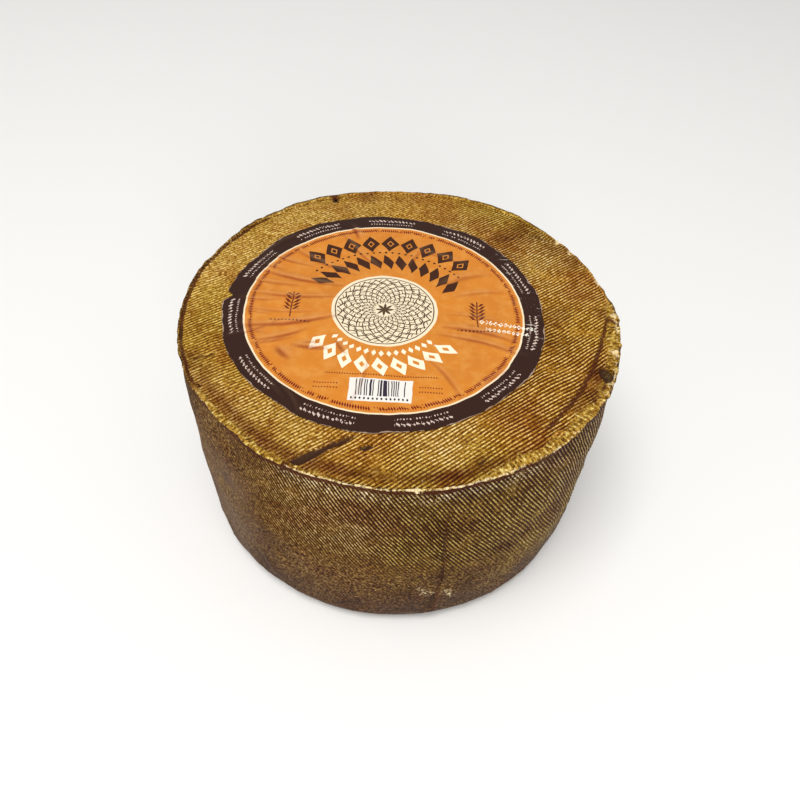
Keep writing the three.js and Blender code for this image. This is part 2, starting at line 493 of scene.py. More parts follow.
# %% The lip
start_piece()
lip_radius = rim_radius - 0.8
bpy.ops.mesh.primitive_torus_add(
    major_radius=lip_radius * MM, minor_radius=0.8 * MM, major_segments=820, minor_segments=12,
    location=(0, 0, (top_height - 0.25) * MM))
lip = bpy.context.object
lip.name = "lip"
bpy.ops.object.transform_apply(location=True, rotation=True, scale=True)
lip_places = points_of(lip)
lip_angle = np.arctan2(lip_places[:, 1], lip_places[:, 0])
broad = broad_lip(lip_angle)
from_axis = np.hypot(lip_places[:, 0], lip_places[:, 1])
inner_half = smooth_step(lip_radius + 0.2, lip_radius - 0.8, from_axis)
spread = 4.4 * broad * inner_half * (1 + 0.4 * np.sin(lip_angle * 61) * np.sin(lip_angle * 23))
spread *= 1 - along_rim(lip_angle, -20, 2, 2)
ragged = along_rim(lip_angle, -130, 18, 10)
spread += 1.3 * ragged * inner_half
raised = np.maximum(along_rim(lip_angle, 128, 12, 18), 0.8 * along_rim(lip_angle, 66, 12, 16))
bulge = 0.9 * along_rim(lip_angle, -8, 14) + 1.2 * raised * (1 - inner_half)
bulge += 0.3 * along_rim(lip_angle, 174, 30)
outwards = lip_places[:, :2] / from_axis[:, None] * (bulge - spread)[:, None]
upwards = 0.6 * raised * (lip_places[:, 2] > top_height - 0.3)
move_vertices(lip, np.column_stack([outwards, upwards]))
slim = np.maximum(along_rim(lip_angle, -88, 22, 8), along_rim(lip_angle, 174, 32, 10))
weight_vertices(lip, "slim", slim)
weight_vertices(lip, "crumbly", 0.35 + 0.5 * broad + 0.35 * ragged)
apply_modifier(
    lip, "DISPLACE", direction="NORMAL", mid_level=0, strength=-0.35 * MM, vertex_group="slim")
apply_modifier(
    lip, "DISPLACE", direction="RGB_TO_XYZ", texture=clouds("lip_waves", 7, 2, True),
    texture_coords="LOCAL", mid_level=0.5, strength=1.0 * MM)
apply_modifier(
    lip, "DISPLACE", direction="NORMAL", texture=clouds("lip_crumbs", 1.5, 3),
    texture_coords="LOCAL", mid_level=0.55, strength=3.2 * MM, vertex_group="crumbly")
# Crumbs of curd stick to the lip where it chipped.
crumb_places = [
    # degrees round, mm inside the rim, mm above the top, size
    (-84.3, 0.5, -0.4, 1.1), (-85.6, 1.6, 0.1, 0.7), (-82.9, 0.2, -0.9, 0.8), (-68.2, 1.0, 0.0, 1.2),
    (-67.0, 2.4, 0.1, 0.8), (-97.5, 0.6, 0.0, 0.7), (-3.4, 2.2, 0.5, 1.3), (-11.2, 1.2, 0.4, 1.4),
    (2.8, 1.8, 0.4, 1.1), (-23.5, 0.8, 0.2, 1.1), (38.2, 1.1, 0.0, 0.9), (-41.0, 1.5, 0.3, 1.0),
]
crumbs = [lip]
for degrees, inset, above, size in crumb_places:
    angle = math.radians(degrees)
    reach = rim_radius - inset
    place = (reach * math.cos(angle), reach * math.sin(angle), top_height + above)
    crumb = stretched_ball("crumb", place, (size, size * 2, angle), (size, size * 0.8, size * 0.65))
    apply_modifier(
        crumb, "DISPLACE", direction="NORMAL", texture=clouds("crumb_lumps", 0.9, 2),
        texture_coords="LOCAL", mid_level=0.5, strength=0.8 * MM)
    crumbs.append(crumb)
boolean_with(wheel, "UNION", crumbs)

# %% Dropping what touches nothing
lowest = int(np.argmin(points_of(wheel)[:, 2]))
make_active(wheel)
bpy.ops.object.mode_set(mode="EDIT")
bpy.ops.mesh.select_mode(type="VERT")
bpy.ops.mesh.select_all(action="DESELECT")
bpy.ops.object.mode_set(mode="OBJECT")
wheel.data.vertices[lowest].select = True
bpy.ops.object.mode_set(mode="EDIT")
bpy.ops.mesh.select_linked()
bpy.ops.mesh.select_all(action="INVERT")
bpy.ops.mesh.delete(type="VERT")
bpy.ops.object.mode_set(mode="OBJECT")
print("wheel with lip:", triangles_of(wheel), "triangles")

# %% [markdown]
# ## Marking the surface for its finish
#
# The finish follows the surface, so the wheel carries its own marks. A UV map named cloth
# counts ridges across and millimetres along them, on the top and on the side. A second one,
# round_rim, counts millimetres round the rim and out from the axis, for the streaks in the
# torn lip. Eleven masks hold one number for each vertex: how far it lies above or below the
# pressed surface, whether it is top or side, where the rind is worn, pale, olive, golden,
# crumbed with dry curd or dusty, where it is stained or painted with shade, where it is dark in
# a seam or in painted shade under the lip, and where painted glints lie. They could be painted
# by hand, but a formula puts them in the same place each time. They are worked out while the
# wheel is still straight, so they stay with the ridges afterwards.

# %% The cloth map
places = points_of(wheel)
mesh = wheel.data
corner_vertex = np.empty(len(mesh.loops), np.int32)
mesh.loops.foreach_get("vertex_index", corner_vertex)
face_of_corner = np.repeat(
    np.arange(len(mesh.polygons)), [polygon.loop_total for polygon in mesh.polygons])
normals = np.empty(len(mesh.polygons) * 3, np.float32)
mesh.polygons.foreach_get("normal", normals)
normals = normals.reshape(-1, 3)
centres = np.empty(len(mesh.polygons) * 3, np.float32)
mesh.polygons.foreach_get("center", centres)
centres = centres.reshape(-1, 3) / MM

within_lip = np.hypot(centres[:, 0], centres[:, 1]) < rim_radius - 0.9
flat_face = (np.abs(normals[:, 2]) > 0.55) & within_lip
flat_face &= (centres[:, 2] > top_height - 4) | (centres[:, 2] < 1)
corner_flat = flat_face[face_of_corner]
corner = places[corner_vertex]
cosine, sine = math.cos(top_ridge_angle), math.sin(top_ridge_angle)
flat_u = (-corner[:, 0] * sine + corner[:, 1] * cosine) / ridge_pitch + grid_pitches / 2
flat_v = corner[:, 0] * cosine + corner[:, 1] * sine
face_angle = np.arctan2(centres[:, 1], centres[:, 0])[face_of_corner]
corner_angle = np.arctan2(corner[:, 1], corner[:, 0])
corner_angle = face_angle + np.arctan2(
    np.sin(corner_angle - face_angle), np.cos(corner_angle - face_angle))
side_u = side_across(corner_angle, corner[:, 2])
side_v = corner[:, 2] / math.cos(side_ridge_lean)
cloth = np.stack([np.where(corner_flat, flat_u, side_u), np.where(corner_flat, flat_v, side_v)], 1)
for layer in list(mesh.uv_layers):
    mesh.uv_layers.remove(layer)
mesh.uv_layers.new(name="cloth").data.foreach_set("uv", cloth.astype(np.float32).ravel())
round_rim = np.stack([corner_angle * rim_radius, np.hypot(corner[:, 0], corner[:, 1])], 1)
mesh.uv_layers.new(name="round_rim").data.foreach_set("uv", round_rim.astype(np.float32).ravel())

# %% The masks
def paint(piece, name, values):
    """Writes one number for each vertex, which materials read by this name."""
    layer = piece.data.attributes.new(name, "FLOAT", "POINT")
    layer.data.foreach_set("value", np.asarray(values, np.float32))


x, y, z = places.T
radius = np.hypot(x, y)
angle = np.arctan2(y, x)
heights = np.linspace(-1, top_height + 3, 300)
nominal_side = np.interp(z, heights, [side_radius(height) for height in heights])
on_top = (z > top_height - 0.05) | ((z > top_height - 3.5) & (radius < nominal_side - 0.75))
relief = np.where(on_top, z - top_height, radius - nominal_side)
relief = np.where((z < 3) & (radius < 84), 0, relief)
paint(wheel, "relief", np.clip(relief, -3, 3))
top_share = np.where(on_top, smooth_step(rim_radius + 0.3, rim_radius - 1.2, radius), 0)
paint(wheel, "top", top_share)
worn = np.where(on_top, worn_on_top(angle), worn_on_side(angle, z))
paint(wheel, "worn", np.maximum(worn, smooth_step(0.15, 0.5, relief)))

spot_level = 106


def spots(on_the_top, on_the_side):
    """Soft round spots: x and y, or degrees and height, then each one's size and strength."""
    centred = [((sx, sy, spot_level), size, strength) for sx, sy, size, strength in on_the_top]
    for degrees, height, size, strength in on_the_side:
        turn = math.radians(degrees)
        centre = (rim_radius * math.cos(turn), rim_radius * math.sin(turn), height)
        centred.append((centre, size, strength))
    total = np.zeros(len(places))
    for centre, size, strength in centred:
        away = np.linalg.norm(places - centre, axis=1)
        total = np.maximum(total, strength * smooth_step(size, size * 0.25, away))
    return total


stains = spots([
    (-38, -86, 9, 0.9), (-30, -84, 8, 0.8), (-22, -76, 6, 0.5), (84, -31, 10, 0.9),
    (80, -40, 9, 0.7), (72, -48, 7, 0.7), (34, -80, 6, 0.7), (62, 66, 16, 0.55),
    (72, 56, 14, 0.5), (80, 44, 9, 0.5), (-84, -38, 10, 0.6), (-79, -46, 12, 0.45),
    (-66, -58, 9, 0.45), (48, 60, 9, 0.5), (89, 6, 7, 0.6), (-37, 86, 5, 1.0), (-20, 88, 9, 0.5),
    (66, 2, 12, 0.5), (67, -12, 9, 0.4), (-78, -51, 4, 1.0), (-61, -66, 5, 0.7),
    (-55, -72, 5, 0.8), (-47.5, -79, 6, 0.8),
], [
    (-98, 14, 16, 0.8), (-112, 20, 15, 0.6), (-84, 24, 14, 0.5), (-64, 26, 18, 0.5),
    (-128, 8, 18, 0.7), (-76, 58, 6, 0.7), (-76, 40, 7, 0.8), (-77, 76, 5, 0.5),
    (-60, 50, 14, 0.35), (-150, 90, 12, 0.5), (-136, 70, 5, 0.9),
])
# A brown halo runs inside the rim at the front left, where oil gathered.
halo = np.exp(-(((radius - rim_radius + 5.8) / 2.9) ** 2)) * on_top
halo *= 0.95 * along_rim(angle, -104, 40, 14)
foot_shade = 0.85 * smooth_step(36, 8, z) * ~on_top
back_shade = 0.15 * along_rim(angle, 75, 35, 30) * on_top
rim_shade = 0.55 * smooth_step(15, 2, top_height - z) * along_rim(angle, -48, 24, 12) * ~on_top
left_shade = 0.8 * smooth_step(18, 5, top_height - z) * along_rim(angle, -168, 18, 10) * ~on_top
bead_shade = 0.4 * smooth_step(rim_radius - 1.6, rim_radius - 0.9, radius) * along_rim(angle, 172, 36)
# The stain mask also holds painted shade: towards the foot, at the back of the top, under the rim on
# the right and on the left of the side.
paint(wheel, "stain_and_shade", np.maximum.reduce([
    stains, halo, foot_shade, back_shade, rim_shade, left_shade, bead_shade]))
# The curd is paler at the left of the top and low on the right of the side.
pale_top = np.maximum.reduce([
    0.7 * along_rim(angle, 158, 44, 30), 0.6 * along_rim(angle, -124, 8, 12),
    0.8 * along_rim(angle, -75, 6, 10), 0.75 * along_rim(angle, 52, 18, 12)])
pale_side = smooth_step(82, 60, z) * 0.95 * along_rim(angle, -42, 14, 12)
paint(wheel, "pale", np.where(on_top, pale_top, pale_side))

# %% The masks of the rim
def near_line(points, width):
    """1 on a bent line across the top and 0 beyond its width, for points in mm."""
    total = np.zeros(len(places))
    for start, end in zip(points, points[1:]):
        start, reach = np.array(start), np.array(end) - start
        share = np.clip((places[:, :2] - start) @ reach / (reach @ reach), 0, 1)
        away = np.linalg.norm(places[:, :2] - start - share[:, None] * reach, axis=1)
        total = np.maximum(total, np.exp(-((away / width) ** 2)))
    return total * on_top


on_lip = on_top & (radius > rim_radius - 4.5)
lip_share = smooth_step(0.0, 0.35, relief) * on_lip
edge_reach = 1.8 + 2.4 * along_rim(angle, -130, 20, 10)
edge_share = smooth_step(edge_reach, 0.4 * edge_reach, rim_radius - radius) * on_lip
golden_here = 0.2 + 0.8 * np.maximum(broad_lip(angle), along_rim(angle, -112, 34, 8))
golden_here *= 1 - 0.9 * along_rim(angle, 174, 38)
torn_band = smooth_step(6.5, 1.5, rim_radius - radius) * broad_lip(angle) * on_top
golden = np.maximum(0.85 * lip_share, 0.7 * edge_share) * golden_here
paint(wheel, "golden", np.maximum(golden, 0.9 * torn_band))
crest_line = np.exp(-(((radius - rim_radius + 0.5) / 0.6) ** 2)) * (z > top_height - 0.6)
chips = spots([
    (9.8, -94.5, 2.6, 1.0), (36.4, -91, 3.0, 1.0), (93.4, 4.4, 3, 0.8), (94, -4, 2.5, 0.7),
    (91.4, -18, 3.5, 0.8), (87, -37, 3, 0.6), (74.6, 58.3, 3, 0.9), (80.5, 49.8, 3, 0.6),
    (90.3, 28.0, 3, 0.5),
], [
    (-80.6, 29.4, 4.5, 0.6), (-73.1, 25.6, 4.5, 0.48), (-72.0, 21.0, 4.5, 0.4),
    (-78.5, 27.0, 6.0, 0.42),
])
broken = 0.62 + 0.38 * np.sin(23 * angle) * np.sin(9 * angle + 1)
thin_edge = (0.5 + 0.1 * broken) * along_rim(angle, -86, 24, 12) + 0.12 * along_rim(angle, -68, 8, 6)
curd = np.maximum(chips, thin_edge * crest_line)
paint(wheel, "curd", np.maximum(curd, 0.6 * broken * crest_line * broad_lip(angle)))
below_rim = top_height - z
groove_line = np.exp(-(((radius - rim_radius + 1.75) / 0.75) ** 2)) * on_top * along_rim(angle, 175, 34)
# Painted shade lies just under the lip, at the front and on the right, where it overhangs the side.
lip_shade_front = np.exp(-(((below_rim - 1.7) / 1.2) ** 2)) * ~on_top * along_rim(angle, -96, 46, 14)
lip_shade_right = 0.8 * smooth_step(6, 3, below_rim) * ~on_top * along_rim(angle, -18, 16, 8)
seam_line = 0.72 * near_line(seam_points, 1.3)
tail_line = 0.8 * near_line([(85.3, -33), (84.2, -38), (82.6, -41.5), (79, -46)], 1.0)
notch_line = 0.95 * near_line([(-38.3, 89), (-36.5, 82.5)], 1.5)
edge_line = 0.8 * near_line([(94.6, 17.5), (95.4, 11.5)], 0.9)
crease_line = 0.9 * near_line([(-38, -85.7), (-28, -80), (-17.6, -72.8)], 1.5)
unrolled = (angle - math.radians(-75.6)) * rim_radius
side_wander = 0.5 * np.sin(z / 7) + 0.3 * np.sin(z / 2.9 + 1)
side_line = np.exp(-(((unrolled - side_wander) / (0.9 + 0.8 * smooth_step(34, 12, z))) ** 2))
side_line *= 0.55 * smooth_step(top_height - 4, top_height - 16, z) * ~on_top
# The seam mask holds the dark seams, groove, notches and creases, and also the painted shade under the
# lip.
paint(wheel, "seam_and_lip_shade", np.maximum.reduce([
    groove_line, lip_shade_front, lip_shade_right, seam_line, tail_line, notch_line, edge_line, crease_line,
    side_line]))
# Painted glints: bright flecks on the crests a few millimetres under the rim at the front, and a
# painted sheen on the right of the side.
glint = 1.2 * smooth_step(11, 4, below_rim) * smooth_step(2.2, 3.8, below_rim)
glint *= along_rim(angle, -84, 24, 12)
right_shine = 0.25 * along_rim(angle, -30, 4, 6) * smooth_step(30, 3, below_rim)
paint(wheel, "painted_glint", np.maximum(glint, right_shine) * ~on_top)
foot_dust = 0.15 * smooth_step(36, 4, z) * along_rim(angle, -75, 50, 25)
left_dust = 0.34 * along_rim(angle, -150, 14, 16) * smooth_step(92, 70, z)
paint(wheel, "dust", np.maximum(foot_dust, left_dust) * ~on_top)
paint(wheel, "olive", 0.75 * along_rim(angle, -4, 24, 18) * ~on_top)
print("painted masks on", len(places), "vertices")

# %% [markdown]
# ## Lumps and wandering ridges
#
# A pressed cheese is never quite true, and wet cloth never lies quite straight. A coloured
# cloud texture moves the surface by up to about a millimetre in all three directions at once,
# so it gives both the lumps and the wander of the ridges, where a plain one would only push
# the surface in and out. Under the label the top stays flat.

# %% Loosening the shape
label_distance = np.hypot(x - label_x, y - label_y)
under_label = (z > top_height - 4) * smooth_step(label_radius + 4, label_radius + 1, label_distance)
near_floor = smooth_step(10, 1, z)
weight_vertices(wheel, "loose", (1 - under_label) * (1 - near_floor))
apply_modifier(
    wheel, "DISPLACE", direction="RGB_TO_XYZ", texture=clouds("lumps", 26, 1, True),
    texture_coords="LOCAL", mid_level=0.5, strength=2.2 * MM, vertex_group="loose")
lumpy = 0.25 + 0.75 * worn_on_side(angle, z)
weight_vertices(wheel, "lumpy", lumpy * (1 - under_label) * (1 - near_floor) * (z < top_height - 2))
apply_modifier(
    wheel, "DISPLACE", direction="NORMAL", texture=clouds("small_lumps", 7, 2),
    texture_coords="LOCAL", mid_level=0.5, strength=1.3 * MM, vertex_group="lumpy")
wheel.vertex_groups.clear()
make_active(wheel)
bpy.ops.object.shade_smooth_by_angle(angle=math.radians(60))
wheel_points = points_of(wheel)
print("wheel from", wheel_points.min(0).round(2), "to", wheel_points.max(0).round(2))

# %% [markdown]
# ## The paper label
#
# The label is thin printed paper, glued down while damp. It has dried into long folds that
# fan out to the left, softer creases on the right, and a torn bite in its left edge. A grid
# cut to a circle would have a jagged rim, so it is made like a drum skin: a circle is extruded
# inwards ring by ring. A cloth simulation could fold it, but not where the real folds lie, so
# the folds are weights painted along lines, lifted by Displace. Solidify gives the thickness.

# %% The paper disc
paper_thickness = 0.14
paper_height = top_height + 0.25
ring_step = 1.0
start_piece()
bpy.ops.mesh.primitive_circle_add(
    vertices=400, radius=label_radius * MM, location=(label_x * MM, label_y * MM, paper_height * MM))
label = bpy.context.object
label.name = "label_paper"
bpy.ops.object.transform_apply(location=True, rotation=True, scale=True)
label_middle = (label_x * MM, label_y * MM, paper_height * MM)
bpy.ops.object.mode_set(mode="EDIT")
bpy.ops.mesh.select_all(action="SELECT")
ring_radius = label_radius
while ring_radius > 5 * ring_step:
    step = ring_step if ring_radius > 20 else 2 * ring_step
    bpy.ops.mesh.extrude_region_move()
    shrink = (ring_radius - step) / ring_radius
    bpy.ops.transform.resize(value=(shrink, shrink, 1), center_override=label_middle)
    ring_radius -= step
bpy.ops.mesh.merge(type="CENTER")
bpy.ops.mesh.select_all(action="SELECT")
bpy.ops.mesh.normals_make_consistent(inside=False)
bpy.ops.object.mode_set(mode="OBJECT")
print("paper disc:", len(label.data.vertices), "vertices", label.data.polygons[0].normal.z)

# %% The print map, the bite and the uneven edge
paper = points_of(label)
from_middle = paper[:, :2] - (label_x, label_y)
paper_radius = np.hypot(*from_middle.T)
paper_angle = np.arctan2(from_middle[:, 1], from_middle[:, 0])
corner_vertex = np.empty(len(label.data.loops), np.int32)
label.data.loops.foreach_get("vertex_index", corner_vertex)
print_map = label.data.uv_layers.new(name="print")
print_map.data.foreach_set("uv", (from_middle[corner_vertex] / 100).astype(np.float32).ravel())

bite_angle, bite_depth, bite_half_width = math.radians(177), 3.4, 3.4
from_bite = np.abs(np.angle(np.exp(1j * (paper_angle - bite_angle)))) * label_radius
bite = bite_depth * np.clip(1 - from_bite / bite_half_width, 0, 1)
uneven = 0.3 * np.sin(5 * paper_angle + 0.6) + 0.3 * np.sin(9 * paper_angle + 2.4)
uneven += 0.25 * np.sin(17 * paper_angle + 1.0) + 0.12 * np.sin(41 * paper_angle)
pull = (bite + uneven + 0.9) * smooth_step(label_radius - 9, label_radius, paper_radius)
inwards = -from_middle / np.maximum(paper_radius, 1)[:, None] * pull[:, None]
move_vertices(label, np.column_stack([inwards, np.zeros(len(paper))]))

# %% The folds
fold_lines = [
    # from x, y to x, y, width, height, in mm from the label's middle
    (-20, 16, -58, 24, 1.6, 0.5), (-22, 8, -60, 8, 1.4, 0.45), (-20, -4, -61, -14, 1.7, 0.6),
    (-33, -14, -53, -23, 1.6, 0.5), (-37, -19, -55, -25, 1.2, 0.4), (-30, -3, -59, -3, 1.1, 0.3),
    (-14, 24, -46, 42, 1.5, 0.4), (-4, 30, -22, 54, 1.3, 0.4), (-38, 14, -64, 18, 1.3, 0.35),
    (-22, -25, -37, -24, 1.5, 0.6), (-13, -28, -18, -21, 1.6, 0.5), (-36, -32, -42, -26, 2.2, 0.6),
    (-46, 4, -66, 3, 1.1, 0.35), (-44, -9, -65, -22, 1.2, 0.4), (-34, 28, -58, 37, 1.2, 0.4),
    (26, -8, 57, -15, 1.6, 0.5), (24, -13, 60, -24, 1.4, 0.45), (28, 0, 52, -4, 1.0, 0.3),
    (24, 20, 46, 30, 2.2, 0.3), (30, 12, 54, 17, 1.3, 0.3), (8, 30, 18, 50, 1.5, 0.3),
    (-49, -18, -56, -16, 1.3, 0.35), (-6, -26, -12, -58, 1.2, 0.25), (20, -28, 34, -50, 1.4, 0.35),
    (-26, -21, -33, -23, 1.0, 0.4), (-47, 25, -60, 29, 1.4, 0.35), (-48, -6, -60, -4, 1.0, 0.3),
    (-60, 34, -44, 52, 1.4, 0.35), (-54, -38, -38, -54, 1.6, 0.4), (40, -44, 54, -30, 1.2, 0.3),
    (-19, 61, -14, 51, 1.6, 0.6), (12, 44, 36, 36, 1.6, 0.3), (-38, -48, -30, -62, 1.3, 0.4),
]
lift = np.zeros(len(paper))
crease_oil_and_shadow = np.zeros(len(paper))
for x0, y0, x1, y1, width, height in fold_lines:
    start, reach = np.array((x0, y0)), np.array((x1 - x0, y1 - y0))
    share = np.clip((from_middle - start) @ reach / (reach @ reach), 0, 1)
    bend = 0.05 * np.linalg.norm(reach) * np.sin(np.pi * share)
    side = (from_middle - start) @ np.array((-reach[1], reach[0])) / np.linalg.norm(reach)
    beyond = np.linalg.norm(from_middle - start - share[:, None] * reach, axis=1)
    past_end = np.sqrt(np.maximum(beyond ** 2 - side ** 2, 0))
    profile = height * np.sin(np.pi * np.clip(0.1 + 0.8 * share, 0, 1))
    away = np.hypot(side - bend, past_end)
    lift = np.maximum(lift, profile * np.exp(-((away / width) ** 2)))
    # The lower flank of each fold carries its painted shadow, darkened also by oil.
    lower_side = math.copysign(0.9 * width, reach[0])
    away = np.hypot(side - bend + lower_side, past_end)
    crease_oil_and_shadow = np.maximum(crease_oil_and_shadow, profile / 0.5 * np.exp(-((away / (0.55 * width)) ** 2)))
weight_vertices(label, "folds", lift / 0.7)
apply_modifier(
    label, "DISPLACE", direction="Z", mid_level=0, strength=0.7 * MM, vertex_group="folds")
apply_modifier(
    label, "DISPLACE", direction="Z", texture=clouds("paper_waves", 12, 2), texture_coords="LOCAL",
    mid_level=0.35, strength=0.55 * MM)
apply_modifier(label, "SOLIDIFY", thickness=paper_thickness * MM, offset=1)
bpy.ops.object.shade_smooth_by_angle(angle=math.radians(60))
label_points = points_of(label)
print("label:", triangles_of(label), "triangles")
print("label from", label_points.min(0).round(2), "to", label_points.max(0).round(2))

# %% Marking the folds for their painted highlight, shadow and oil
paint(label, "fold", np.clip(np.tile(lift / 0.55, 2), 0, 1))
paint(label, "crease_oil_and_shadow", np.clip(np.tile(crease_oil_and_shadow, 2), 0, 1))

# %% [markdown]
# ## Colours and nodes
#
# Colours are picked as sRGB hex values, as a colour picker shows them, and one function turns
# them to the linear values that shaders work in. Another adds a node, sets it and fills its
# sockets with numbers or with other nodes.

# %% Helpers for materials
def to_linear(hex_colour):
    """An sRGB hex colour as linear red, green, blue and alpha."""
    channels = [int(hex_colour[start:start + 2], 16) / 255 for start in (1, 3, 5)]
    curve = [c / 12.92 if c <= 0.04045 else ((c + 0.055) / 1.055) ** 2.4 for c in channels]
    return (*curve, 1.0)


def add_node(tree, kind, inputs=None, **settings):
    """Adds a node with its settings. An input is a number, a colour, a node or a socket."""
    made = tree.nodes.new("ShaderNode" + kind)
    for name, value in settings.items():
        setattr(made, name, value)
    for name, value in (inputs or {}).items():
        socket = made.inputs[name] if isinstance(name, int) else next(
            one for one in made.inputs if one.name == name and one.enabled)
        if isinstance(value, bpy.types.Node):
            value = next(one for one in value.outputs if one.enabled)
        if isinstance(value, bpy.types.NodeSocket):
            tree.links.new(value, socket)
        else:
            socket.default_value = value
    return made


def new_material(name):
    """An empty node material, and its tree."""
    material = bpy.data.materials.new(name)
    material.use_nodes = True
    material.node_tree.nodes.clear()
    return material, material.node_tree


# %% [markdown]
# ## The rind
#
# The rind is hard, dry curd that was pressed in cotton twill and rubbed with oil as it aged.
# Oil and dust darken the furrows, and the crests are polished by handling, so they are light
# and a little shiny; their brightest tones are painted highlights as well. Each ridge is a row
# of short slanting floats, as the threads pass over each other every 2.4 mm, so it is broken
# by small gaps. The ridges are real shape, because they catch the light and show in the
# outline, and the floats are finer, so they are colour and bump. The top is golden, the side
# browner and duller, and its colours are darker in part as painted shade of the upright side.
# The torn lip shows pale curd.

# %% The rind's pattern
rind, tree = new_material("oiled_rind_pressed_in_twill")
cloth_map = add_node(tree, "UVMap", uv_map="cloth")
cloth_parts = add_node(tree, "SeparateXYZ", {0: cloth_map})
place = add_node(tree, "TexCoord").outputs["Object"]
masks = {
    name: add_node(tree, "Attribute", attribute_name=name).outputs["Fac"]
    for name in (
        "relief", "top", "worn", "stain_and_shade", "pale", "olive", "golden", "curd", "seam_and_lip_shade", "painted_glint", "dust")
}

wobble = add_node(tree, "TexNoise", {"Vector": place, "Scale": 260, "Detail": 2, "Roughness": 0.5})
wobble_size = add_node(tree, "Math", {0: wobble, 1: 0.26, 2: -0.13}, operation="MULTIPLY_ADD")
across = add_node(tree, "Math", {0: cloth_parts.outputs["X"], 1: wobble_size}, operation="ADD")
ridge = add_node(tree, "Math", {0: across, 1: 0.5}, operation="PINGPONG")
ridge_number = add_node(tree, "Math", {0: across}, operation="FLOOR")

float_length = 2.4
shift = add_node(tree, "TexWhiteNoise", {"W": ridge_number}, noise_dimensions="1D").outputs["Value"]
slanted = add_node(tree, "Math", {0: ridge, 1: 0.7, 2: shift}, operation="MULTIPLY_ADD")
along = add_node(
    tree, "Math", {0: cloth_parts.outputs["Y"], 1: 1 / float_length, 2: slanted},
    operation="MULTIPLY_ADD")
along_rough = add_node(tree, "Math", {0: wobble, 1: 1.1, 2: along}, operation="MULTIPLY_ADD")
float_place = add_node(tree, "Math", {0: along_rough, 1: 0.5}, operation="PINGPONG")
float_number = add_node(tree, "Math", {0: along_rough}, operation="FLOOR")
float_cell = add_node(tree, "CombineXYZ", {0: ridge_number, 1: float_number})
float_draw = add_node(tree, "TexWhiteNoise", {"Vector": float_cell}, noise_dimensions="2D")
gap = add_node(
    tree, "MapRange", {"Value": float_place, "From Min": 0.16, "From Max": 0.0},
    interpolation_type="SMOOTHSTEP")
crest = add_node(
    tree, "MapRange", {"Value": ridge, "From Min": 0.14, "From Max": 0.46},
    interpolation_type="SMOOTHSTEP")
gap_cut = add_node(tree, "Math", {0: gap, 1: -0.62, 2: 1.0}, operation="MULTIPLY_ADD")
printed = add_node(tree, "Math", {0: crest, 1: gap_cut}, operation="MULTIPLY")
float_light = add_node(
    tree, "Math", {0: float_draw.outputs["Value"], 1: 0.75, 2: 0.6}, operation="MULTIPLY_ADD")
printed_light = add_node(tree, "Math", {0: printed, 1: float_light}, operation="MULTIPLY")

# %% The rind's grain
fine = add_node(tree, "TexNoise", {"Vector": place, "Scale": 900, "Detail": 3, "Roughness": 0.65})
patchy = add_node(tree, "TexNoise", {"Vector": place, "Scale": 42, "Detail": 4, "Roughness": 0.6})
broad_patchy = add_node(
    tree, "TexNoise", {"Vector": place, "Scale": 13, "Detail": 2, "Roughness": 0.5})
flecked = add_node(
    tree, "TexNoise", {"Vector": place, "Scale": 750, "Detail": 3, "Roughness": 0.65})

# Where the print is worn, the ridges fade into grain of the same mean tone.
grain = add_node(tree, "MapRange", {
    "Value": fine, "From Min": 0.34, "From Max": 0.68, "To Min": 0.24, "To Max": 0.97})
smudged = add_node(tree, "TexNoise", {"Vector": place, "Scale": 75, "Detail": 3, "Roughness": 0.6})
smudge = add_node(
    tree, "MapRange", {"Value": smudged, "From Min": 0.48, "From Max": 0.68, "To Max": 0.6},
    interpolation_type="SMOOTHSTEP")
worn_marks = add_node(tree, "Math", {0: masks["worn"], 1: 0.85}, operation="MULTIPLY")
worn_soft = add_node(tree, "Math", {0: worn_marks, 1: smudge}, operation="MAXIMUM")
tone = add_node(
    tree, "Mix", {"Factor": worn_soft, "A": printed_light, "B": grain}, data_type="FLOAT")
fine_push = add_node(tree, "Math", {0: fine, 1: 0.8, 2: -0.38}, operation="MULTIPLY_ADD")
tone_fine = add_node(tree, "Math", {0: tone, 1: fine_push}, operation="ADD", use_clamp=True)
dull_side = add_node(tree, "Math", {0: masks["worn"], 1: -0.42, 2: 1.0}, operation="MULTIPLY_ADD")
dulled = add_node(tree, "Math", {0: tone_fine, 1: dull_side}, operation="MULTIPLY")
side_push = add_node(tree, "Math", {0: fine, 1: 1.5, 2: -0.75}, operation="MULTIPLY_ADD")
side_tone = add_node(
    tree, "Math", {0: side_push, 1: worn_marks, 2: dulled},
    operation="MULTIPLY_ADD", use_clamp=True)

# %% The rind's colours
top_colour = add_node(tree, "ValToRGB", {"Fac": tone_fine})
side_colour = add_node(tree, "ValToRGB", {"Fac": side_tone})
base = add_node(
    tree, "Mix", {"Factor": masks["top"], "A": side_colour, "B": top_colour}, data_type="RGBA")
pale_top_colour = add_node(tree, "ValToRGB", {"Fac": tone_fine})
pale_side_colour = add_node(tree, "ValToRGB", {"Fac": side_tone})
pale_base = add_node(
    tree, "Mix", {"Factor": masks["top"], "A": pale_side_colour, "B": pale_top_colour},
    data_type="RGBA")
pale_patchy = add_node(tree, "MapRange", {
    "Value": patchy, "From Min": 0.62, "From Max": 0.44, "To Min": 0.25, "To Max": 1.0})
pale_mix = add_node(tree, "Math", {0: masks["pale"], 1: pale_patchy}, operation="MULTIPLY")

